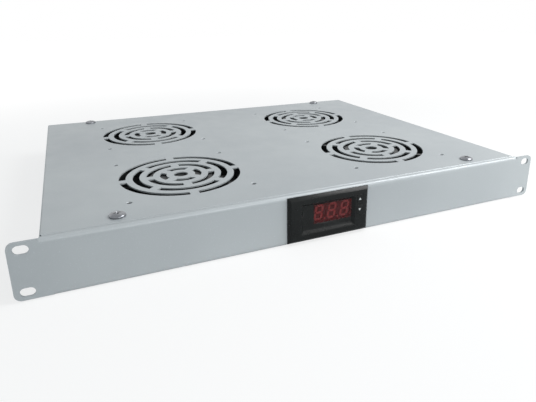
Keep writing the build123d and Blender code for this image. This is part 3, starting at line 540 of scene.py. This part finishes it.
def makeNuts(nodeName, size):
    way = size.get("way", "up")
    corner = size["flat"] / math.sqrt(3)
    sideReach = None if size.get("alone") else corner
    otherReach = None if size.get("alone") or size.get("pair") else size["flat"] / 2
    reach = (sideReach, otherReach, 0) if way == "up" else (sideReach, 0, otherReach)
    places = spots(nodeName, reach)
    along = 2 if way == "up" else 1
    foot = max(p[along] for p in places) if way == "front" else min(p[along] for p in places)
    places = [p for p in places if abs(p[along] - foot) < 1e-6]
    nut = hexNut("nut", size["flat"], size["height"], size["hole"])
    piece = makeCopies(size["name"], nut, places, zinc, (wayTurns[way], 0.0, 0.0), seed=3)
    stand(piece, nodeName)


for nodeName, size in nutSizes.items():
    makeNuts(nodeName, size)
print("nuts made")

# Corner screws: domed heads with a cross recess
cornerScrew = {
    "radius": 6.2, "edge": 1.0, "rise": 3.0, "shank": 2.95, "length": 11.0, "threadPitch": 1.0, "cross": 6.0,
    "arm": 1.35, "crossDepth": 1.8, "sides": 40, "domeSteps": 7,
}


def makeCornerScrews():
    size = cornerScrew
    dome = [(0, 0), (size["radius"] - 0.2, 0), (size["radius"], 0.2), (size["radius"], size["edge"] - 0.15)]
    for step in range(size["domeSteps"]):
        share = step / size["domeSteps"]
        radius = size["radius"] * math.cos(share * math.pi / 2)
        dome.append((radius, size["edge"] + (size["rise"] - size["edge"]) * math.sin(share * math.pi / 2)))
    dome.append((0, size["rise"]))
    head = lathe("head", dome, size["sides"])
    combine(head, crossRecess(size["cross"], size["arm"], size["rise"] - size["crossDepth"], size["rise"] + 0.5))
    shank = threadedRod("shank", size["shank"], size["threadPitch"], -size["length"], 0.05)
    places = spots("corner_screws", (size["radius"], size["radius"], 0))
    top = max(p.z for p in places) - size["rise"] * mm
    places = at([p for p in places if p.z > top], top)
    piece = makeCopies("cornerScrews", joined("screw", [head, shank]), places, nickel, spin=math.pi, seed=5)
    stand(piece, "corner_screws")


makeCornerScrews()

# Fan screws: pan heads below the fans, thread ends in the top sheet's tapped holes
fanScrew = {
    "pitch": 105.0, "head": 4.0, "rise": 2.6, "shank": 1.95, "waist": 0.12, "length": 38.5, "thread": 7.0,
    "threadPitch": 0.7, "cross": 4.4, "arm": 1.0, "crossStart": 1.3, "crossTaper": 0.8, "headSides": 28,
}


def makeFanScrews():
    size = fanScrew
    head = lathe(
        "head",
        [
            (0, 0), (size["head"], 0), (size["head"], -1.0), (0.94 * size["head"], -1.8),
            (0.75 * size["head"], -2.35), (0.5 * size["head"], -size["rise"]), (0, -size["rise"]),
        ],
        size["headSides"],
    )
    arms = [
        taperedBar(
            "arm", size["cross"], size["arm"], -size["crossStart"], -size["rise"] - 0.5, size["crossTaper"], turn
        )
        for turn in (0.0, math.pi / 2)
    ]
    combine(head, arms)
    plain = size["length"] - size["thread"]
    waist = size["shank"] - size["waist"]
    shank = lathe("plain", [(0, -0.05), (waist, -0.05), (waist, plain), (0, plain)], 18)
    thread = threadedRod("thread", size["shank"], size["threadPitch"], plain, size["length"])
    centres = []
    for fan in fanNames:
        low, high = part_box(f"{fan}_fan_housing")
        middle = (low + high) / 2
        for side in (-1, 1):
            for end in (-1, 1):
                half = size["pitch"] / 2 * mm
                centres.append((middle.x + side * half, middle.y + end * half, low.z))
    screw = joined("screw", [head, shank, thread])
    piece = makeCopies("fanScrews", screw, centres, blackOxide, spin=math.pi, seed=7)
    stand(piece, "fan_screws")


makeFanScrews()
print("screws made")

# Leads: round section on a smooth line through the points of their routes
leadTree = bpy.data.node_groups.new("roundLead", "GeometryNodeTree")
leadInputs = makeInputs(
    leadTree, {"Geometry": "Geometry", "Radius": "Float", "Sides": "Int", "Finish": "Material"}
)


def buildLeadTree(tree):
    given = addNode(tree, "NodeGroupInput").outputs
    result = addNode(tree, "NodeGroupOutput")
    run = addNode(tree, "GeometryNodeSplineParameter")
    along = addNode(tree, "GeometryNodeStoreNamedAttribute", {"Name": "along"}, data_type="FLOAT", domain="POINT")
    around = addNode(tree, "GeometryNodeStoreNamedAttribute", {"Name": "around"}, data_type="FLOAT", domain="POINT")
    circle = addNode(tree, "GeometryNodeCurvePrimitiveCircle")
    sweep = addNode(tree, "GeometryNodeCurveToMesh", {"Fill Caps": True})
    paint = addNode(tree, "GeometryNodeSetMaterial")
    linkAll(tree, [
        (given["Geometry"], along.inputs["Geometry"]), (run.outputs["Length"], along.inputs["Value"]),
        (given["Sides"], circle.inputs["Resolution"]), (given["Radius"], circle.inputs["Radius"]),
        (circle.outputs["Curve"], around.inputs["Geometry"]), (run.outputs["Factor"], around.inputs["Value"]),
        (along.outputs[0], sweep.inputs["Curve"]), (around.outputs[0], sweep.inputs["Profile Curve"]),
        (sweep.outputs[0], paint.inputs["Geometry"]), (given["Finish"], paint.inputs["Material"]),
        (paint.outputs[0], result.inputs[0]),
    ])


buildLeadTree(leadTree)

leadLook = {"steps": 12, "sides": 16}
aisleSide = 45.0  # the fans' inner sides
blockEnds = (166.8, 183.8)
entryHeight = 11.5
leads = {
    "frontLeftFanLead": {
        "node": "front_left_fan_lead", "radius": 1.8, "finish": blackSheath, "slot": "black_lead",
        "route": [(-aisleSide, 131, entryHeight), (-21, 131, entryHeight), (-21, blockEnds[0], entryHeight)],
    },
    "frontRightFanLead": {
        "node": "front_right_fan_lead", "radius": 1.8, "finish": blackSheath, "slot": "black_lead",
        "route": [(aisleSide, 131, entryHeight), (21, 131, entryHeight), (21, blockEnds[0], entryHeight)],
    },
    "rearLeftFanLead": {
        "node": "rear_left_fan_lead", "radius": 1.8, "finish": blackSheath, "slot": "black_lead",
        "route": [(-aisleSide, 219.6, entryHeight), (-21, 219.6, entryHeight), (-21, blockEnds[1], entryHeight)],
    },
    "rearRightFanLead": {
        "node": "rear_right_fan_lead", "radius": 1.8, "finish": blackSheath, "slot": "black_lead",
        "route": [(aisleSide, 219.6, entryHeight), (21, 219.6, entryHeight), (21, blockEnds[1], entryHeight)],
    },
    "mainsLive": {
        "node": "mains_leads", "radius": 1.2, "finish": brownSheath, "slot": "lead_sleeve",
        "route": [(-7, 324.5, -2.5), (-7, 284.5, -2.5), (-7, 227.8, entryHeight), (-7, blockEnds[1], entryHeight)],
    },
    "mainsNeutral": {
        "node": "mains_leads", "radius": 1.2, "finish": blueSheath, "slot": "lead_sleeve",
        "route": [(7, 324.5, -2.5), (7, 284.5, -2.5), (7, 227.8, entryHeight), (7, blockEnds[1], entryHeight)],
    },
    "thermostatLive": {
        "node": "thermostat_leads", "radius": 1.2, "finish": brownSheath, "slot": "lead_sleeve",
        "route": [(-7, 60, -6), (-7, 88, -6), (-7, 139.8, entryHeight), (-7, blockEnds[0], entryHeight)],
    },
    "thermostatNeutral": {
        "node": "thermostat_leads", "radius": 1.2, "finish": blueSheath, "slot": "lead_sleeve",
        "route": [(7, 60, -6), (7, 88, -6), (7, 139.8, entryHeight), (7, blockEnds[0], entryHeight)],
    },
    "earthCore": {
        "node": "earth_lead", "radius": 1.2, "finish": earthSheath, "slot": "earth_sleeve",
        "route": [(0, 324.5, 1.5), (0, 308.5, 1.5), (0, 290.5, 18.7), (0, 274.5, 18.7)],
    },
    "probeCore": {
        "node": "probe_lead", "radius": 1.3, "finish": blackSheath, "slot": "black_lead",
        "route": [(14, 60, -6), (14, 78, -6), (14, 100, 15.5), (14, 118, 15.5)],
    },
}


def makeLead(name, lead):
    curve = bpy.data.curves.new(name, "CURVE")
    curve.dimensions = "3D"
    spline = curve.splines.new("NURBS")
    spline.points.add(len(lead["route"]) - 1)
    for point, (x, y, z) in zip(spline.points, lead["route"]):
        point.co = (x * mm, y * mm, z * mm, 1)
    spline.order_u = 3
    spline.use_endpoint_u = True
    spline.resolution_u = leadLook["steps"]
    line = newPiece(f"{name}Line", curve)
    modifier = line.modifiers.new("lead", "NODES")
    modifier.node_group = leadTree
    for label, value in {"Radius": lead["radius"] * mm, "Sides": leadLook["sides"], "Finish": lead["finish"]}.items():
        modifier[leadInputs[label]] = value
    bpy.context.view_layer.update()
    graph = bpy.context.evaluated_depsgraph_get()
    mesh = bpy.data.meshes.new_from_object(line.evaluated_get(graph), depsgraph=graph)
    bpy.data.objects.remove(line)
    piece = newPiece(name, mesh)
    shadeByAngle(piece, shadeAngles["leads"])
    stand(piece, lead["node"])


for name, lead in leads.items():
    makeLead(name, lead)
print("leads made")

# Display: three seven-segment figures behind the red window, none of them lit
display = {
    "height": 14.2, "width": 8.1, "stroke": 1.9, "slant": 10, "spacing": 12.6, "gap": 0.25, "thick": 0.16,
    "pointRadius": 0.85, "pointOut": 5.7, "pointDown": 6.5, "pointSides": 14,
}


def flatPrism(work, outline, thick):  # outline in X and Z, thickness towards the front
    front = [work.verts.new((x * mm, -thick * mm, z * mm)) for x, z in outline]
    back = [work.verts.new((x * mm, 0, z * mm)) for x, z in outline]
    work.faces.new(front)
    work.faces.new(list(reversed(back)))
    count = len(outline)
    for step in range(count):
        after = (step + 1) % count
        work.faces.new([front[step], back[step], back[after], front[after]])


def segmentOutline(start, end, stroke, gap):
    first, last = Vector(start), Vector(end)
    way = (last - first).normalized()
    side = Vector((-way.y, way.x)) * stroke / 2
    near = first + way * (gap + stroke / 2)
    far = last - way * (gap + stroke / 2)
    return [first + way * gap, near + side, far + side, last - way * gap, far - side, near - side]


def makeDigits():
    size = display
    lean = math.tan(math.radians(size["slant"]))
    halfWidth = (size["width"] - size["stroke"]) / 2
    halfHeight = (size["height"] - size["stroke"]) / 2
    corners = {
        "topLeft": (-halfWidth, halfHeight), "topRight": (halfWidth, halfHeight),
        "left": (-halfWidth, 0), "right": (halfWidth, 0),
        "footLeft": (-halfWidth, -halfHeight), "footRight": (halfWidth, -halfHeight),
    }
    bars = [
        ("topLeft", "topRight"), ("left", "right"), ("footLeft", "footRight"), ("topLeft", "left"),
        ("topRight", "right"), ("left", "footLeft"), ("right", "footRight"),
    ]
    work = bmesh.new()
    for start, end in bars:
        outline = segmentOutline(corners[start], corners[end], size["stroke"], size["gap"])
        flatPrism(work, [(x + z * lean, z) for x, z in outline], size["thick"])
    turns = [math.tau * step / size["pointSides"] for step in range(size["pointSides"])]
    reach = size["pointRadius"]
    flatPrism(
        work,
        [(size["pointOut"] + reach * math.cos(t), reach * math.sin(t) - size["pointDown"]) for t in turns],
        size["thick"],
    )
    digit = meshFrom("digit", work)
    low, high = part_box("display_window")
    middle = (low + high) / 2
    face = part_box("display_module")[0].y
    places = [(middle.x + step * size["spacing"] * mm, face, middle.z) for step in (-1, 0, 1)]
    piece = makeCopies("displayFigures", digit, places, digitRed)
    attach(piece, "chassis")


makeDigits()

# Marks on the keys: one triangle points up, the other down
keyMark = {"width": 2.5, "height": 2.2, "thick": 0.03, "room": 0.04}


def makeKeyMark(name, nodeName, body, way):
    low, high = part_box(nodeName)
    work = bmesh.new()
    halfWidth, halfHeight = keyMark["width"] / 2, keyMark["height"] / 2
    outline = [(-halfWidth, -way * halfHeight), (halfWidth, -way * halfHeight), (0, way * halfHeight)]
    flatPrism(work, outline, keyMark["thick"])
    piece = meshFrom(name, work)
    piece.data.materials.append(markWhite)
    place = Matrix.Translation(((low.x + high.x) / 2, low.y + keyMark["room"] * mm, (low.z + high.z) / 2))
    piece.data.transform(place)
    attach(piece, body)


makeKeyMark("upMark", "up_key", "up_button", 1)
makeKeyMark("downMark", "down_key", "down_button", -1)
print("display and keys made")

# Impellers: a hub cup with pitched blades that flatten and widen towards the duct
impeller = {
    "blades": 5, "hub": 29.0, "wall": 2.5, "edge": 1.2, "boss": 5.5, "bore": 2.5, "bossGap": 1.0,
    "root": 27.6, "reach": 56.3, "rootChord": 30.0, "tipChord": 38.0, "rootTilt": 48.0, "tipTilt": 30.0,
    "camber": 4.0, "thick": 1.8, "stations": 8, "points": 11, "sides": 64,
}


def bladeRing(work, share, turn, level):
    size = impeller
    radius = size["root"] + share * (size["reach"] - size["root"])
    chord = size["rootChord"] + share * (size["tipChord"] - size["rootChord"])
    tilt = math.radians(size["rootTilt"] + share * (size["tipTilt"] - size["rootTilt"]))
    last = size["points"] - 1
    steps = [(step, 1) for step in range(last + 1)] + [(step, -1) for step in range(last - 1, 0, -1)]
    ring = []
    for step, side in steps:
        along = 2 * step / last - 1
        across = chord / 2 * along
        rise = size["camber"] * (1 - along ** 2) + side * size["thick"] / 2 * math.sqrt(1 - along ** 4)
        angle = turn + (across * math.cos(tilt) - rise * math.sin(tilt)) / radius
        height = level + across * math.sin(tilt) + rise * math.cos(tilt)
        ring.append(work.verts.new((radius * math.cos(angle) * mm, radius * math.sin(angle) * mm, height * mm)))
    return ring


def makeImpeller(fan):
    size = impeller
    low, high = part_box(f"{fan}_impeller")
    foot, top = low.z / mm, high.z / mm
    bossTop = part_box("fan_bushes")[0].z / mm - size["bossGap"]
    inner, floor = size["hub"] - size["wall"], foot + size["wall"]
    hub = lathe("hub", [
        (0, foot), (size["hub"] - size["edge"], foot), (size["hub"], foot + size["edge"]), (size["hub"], top),
        (inner, top), (inner, floor), (size["boss"], floor), (size["boss"], bossTop), (size["bore"], bossTop),
        (size["bore"], foot + size["wall"] / 2), (0, foot + size["wall"] / 2),
    ], size["sides"])
    work = bmesh.new()
    for blade in range(size["blades"]):
        turn = math.tau * blade / size["blades"]
        shares = [step / (size["stations"] - 1) for step in range(size["stations"])]
        rings = [bladeRing(work, share, turn, (foot + top) / 2) for share in shares]
        skin(work, rings)
        work.faces.new(rings[0])
        work.faces.new(rings[-1])
    piece = joined(f"{fan}_impeller_moulded", [hub, meshFrom("blades", work)])
    shaftLow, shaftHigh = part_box(f"{fan}_shaft")
    middle = (shaftLow + shaftHigh) / 2
    piece.data.transform(Matrix.Translation((middle.x, middle.y, 0)))
    piece.data.materials.append(fanPlastic)
    shadeByAngle(piece, shadeAngles["impellers"])
    stand(piece, f"{fan}_impeller", f"{fan}_rotor")


for fan in fanNames:
    makeImpeller(fan)
print("impellers made")

# Broken edges on the larger pieces
softEdges = {
    "front_panel": {"name": "frontPanel", "edge": 0.35, "slot": "panel_paint"},
    "thermostat_case": {"name": "thermostatCase", "edge": 0.4, "slot": "black_plastic", "flat": False},
    "thermostat_back": {"name": "thermostatBack", "edge": 0.25, "slot": "black_plastic"},
    "thermostat_terminals": {"name": "thermostatTerminals", "edge": 0.2, "slot": "terminal_plastic"},
    "thermostat_clips": {"name": "thermostatClips", "edge": 0.25, "slot": "clip_plastic"},
    "terminal_block": {"name": "terminalBlock", "edge": 0.3, "slot": "block_nylon"},
    "inlet_housing": {"name": "inletHousing", "edge": 0.25, "slot": "inlet_plastic"},
    "inlet_receptacles": {"name": "inletReceptacles", "edge": 0.4, "slot": "receptacle_sleeve"},
    "up_key": {"name": "upKey", "edge": 0.12, "slot": "key_plastic", "body": "up_button"},
    "down_key": {"name": "downKey", "edge": 0.12, "slot": "key_plastic", "body": "down_button"},
    "transformer": {"name": "transformerStack", "edge": 0.4, "slot": "lamination"},
    "relay": {"name": "relayCase", "edge": 0.4, "slot": "relay_plastic"},
    "fan_stators": {"name": "fanStators", "edge": 0.5, "slot": "lamination"},
}
for fan in fanNames:
    softEdges[f"{fan}_fan_housing"] = {"name": f"{fan}_housing_cast", "edge": 0.5, "slot": "fan_casting"}
for nodeName, soft in softEdges.items():
    piece = softened(nodeName, soft["name"], soft["edge"], soft.get("flat", True))
    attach(piece, soft.get("body", "chassis"))
    if soft["slot"] == "key_plastic":  # the faces go back, to leave room for the marks on them
        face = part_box(nodeName)[0].y
        for vertex in piece.data.vertices:
            if vertex.co.y < face + 0.02 * mm:
                vertex.co.y += keyMark["room"] * mm
print("edges broken")

# Stage
stageLook = {
    "floorSize": 6.0, "backdrop": 1.0, "floorGlow": 1.06, "shadowShare": 0.3, "fadeFrom": 0.35, "fadeTo": 1.2,
    "worldLight": 0.36, "skyTint": (0.86, 0.96, 1.0, 1.0),
}


def makeFloor():
    half = stageLook["floorSize"] / 2
    level = cadLow.z
    mesh = bpy.data.meshes.new("floor")
    corners = [(-half, -half, level), (half, -half, level), (half, half, level), (-half, half, level)]
    mesh.from_pydata(corners, [], [(0, 1, 2, 3)])
    floor = newPiece("floor", mesh)
    material, tree, shader, coords = startMaterial("floorPaper")
    output = tree.nodes["Material Output"]
    grain = noiseOf(tree, coords, 0.4)
    tree.links.new(mixColors(tree, grain, rgb(238, 238, 238), rgb(243, 243, 243)), shader.inputs["Base Color"])
    shader.inputs["Roughness"].default_value = 0.8
    glow = addNode(tree, "ShaderNodeEmission", {"Strength": stageLook["floorGlow"]})
    path = addNode(tree, "ShaderNodeLightPath")
    reach = addNode(tree, "ShaderNodeVectorMath", operation="LENGTH")
    tree.links.new(coords, reach.inputs[0])
    fade = addNode(tree, "ShaderNodeMapRange", {
        "From Min": stageLook["fadeFrom"], "From Max": stageLook["fadeTo"],
        "To Min": 1 - stageLook["shadowShare"], "To Max": 1.0,
    }, interpolation_type="SMOOTHSTEP")
    tree.links.new(reach.outputs["Value"], fade.inputs["Value"])
    share = addNode(tree, "ShaderNodeMath", operation="MULTIPLY")
    tree.links.new(fade.outputs["Result"], share.inputs[1])
    tree.links.new(path.outputs["Is Camera Ray"], share.inputs[0])
    mixed = addNode(tree, "ShaderNodeMixShader")
    tree.links.new(share.outputs[0], mixed.inputs[0])
    tree.links.new(shader.outputs[0], mixed.inputs[1])
    tree.links.new(glow.outputs[0], mixed.inputs[2])
    below = addNode(tree, "ShaderNodeMixShader")  # seen from below, the floor is clear
    tree.links.new(addNode(tree, "ShaderNodeNewGeometry").outputs["Backfacing"], below.inputs[0])
    tree.links.new(mixed.outputs[0], below.inputs[1])
    tree.links.new(addNode(tree, "ShaderNodeBsdfTransparent").outputs[0], below.inputs[2])
    tree.links.new(below.outputs[0], output.inputs["Surface"])
    floor.data.materials.append(material)


def makeWorld():
    world = bpy.data.worlds.new("studio")
    scene.world = world
    world.use_nodes = True
    tree = world.node_tree
    tree.nodes.clear()
    path = addNode(tree, "ShaderNodeLightPath")
    either = addNode(tree, "ShaderNodeMath", operation="MAXIMUM")
    every = addNode(tree, "ShaderNodeMath", operation="MAXIMUM")
    tree.links.new(path.outputs["Is Camera Ray"], either.inputs[0])
    tree.links.new(path.outputs["Is Glossy Ray"], either.inputs[1])
    tree.links.new(either.outputs[0], every.inputs[0])
    tree.links.new(path.outputs["Is Transmission Ray"], every.inputs[1])
    light = addNode(tree, "ShaderNodeBackground", {"Strength": stageLook["worldLight"]})
    seen = addNode(tree, "ShaderNodeBackground", {"Strength": stageLook["backdrop"]})
    light.inputs["Color"].default_value = stageLook["skyTint"]
    seen.inputs["Color"].default_value = (1.0, 1.0, 1.0, 1.0)
    mixed = addNode(tree, "ShaderNodeMixShader")
    output = addNode(tree, "ShaderNodeOutputWorld")
    tree.links.new(every.outputs[0], mixed.inputs[0])
    tree.links.new(light.outputs[0], mixed.inputs[1])
    tree.links.new(seen.outputs[0], mixed.inputs[2])
    tree.links.new(mixed.outputs[0], output.inputs["Surface"])


lamps = {
    "overhead": {"place": (0.66, -0.2, 0.72), "aim": (0.15, 0.05, 0.0), "size": 0.6, "watts": 7.2},
    "frontFill": {"place": (0.26, -1.0, 0.3), "aim": (0.1, 0.0, 0.0), "size": 0.6, "watts": 2.9},
}


def makeLamps():
    for name, lamp in lamps.items():
        data = bpy.data.lights.new(name, "AREA")
        data.size = lamp["size"]
        data.energy = lamp["watts"]
        light = bpy.data.objects.new(name, data)
        scene.collection.objects.link(light)
        light.location = lamp["place"]
        towards = Vector(lamp["aim"]) - Vector(lamp["place"])
        light.rotation_euler = towards.to_track_quat("-Z", "Y").to_euler()


makeFloor()
makeWorld()
makeLamps()
print("stage lit")
